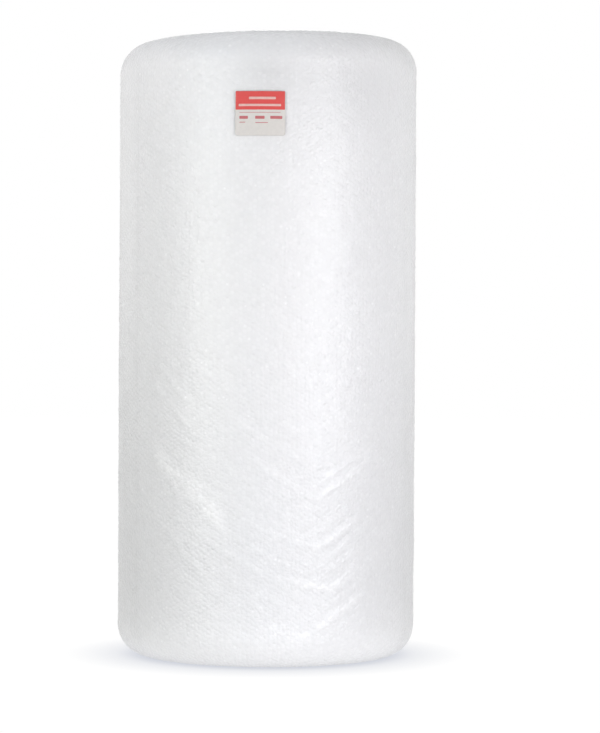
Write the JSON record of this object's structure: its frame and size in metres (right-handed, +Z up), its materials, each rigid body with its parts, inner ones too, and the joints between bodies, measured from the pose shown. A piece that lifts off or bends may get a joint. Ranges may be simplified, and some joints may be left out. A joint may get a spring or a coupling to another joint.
{
  "type": "bubble wrap roll",
  "caption": "Large coreless roll of clear small-bubble wrap standing on its end, with an open centre and a film label near the top.",
  "frame": {"origin": "middle of the bottom end face, on the roll's axis", "axes": "+Z up the roll's axis, -Y towards the side with the label"},
  "size_m": [0.7295, 0.7275, 1.5],
  "materials": {
    "bubble_film": "clear polythene bubble film that reads as translucent white in many layers",
    "label_film": "satin printed film, pale grey",
    "label_ink": "red ink"
  },
  "bodies": {
    "root": {"bubble_wrap_roll": "bubble_film", "roll_label": "label_film", "label_print": "label_ink"}
  },
  "joints": []
}
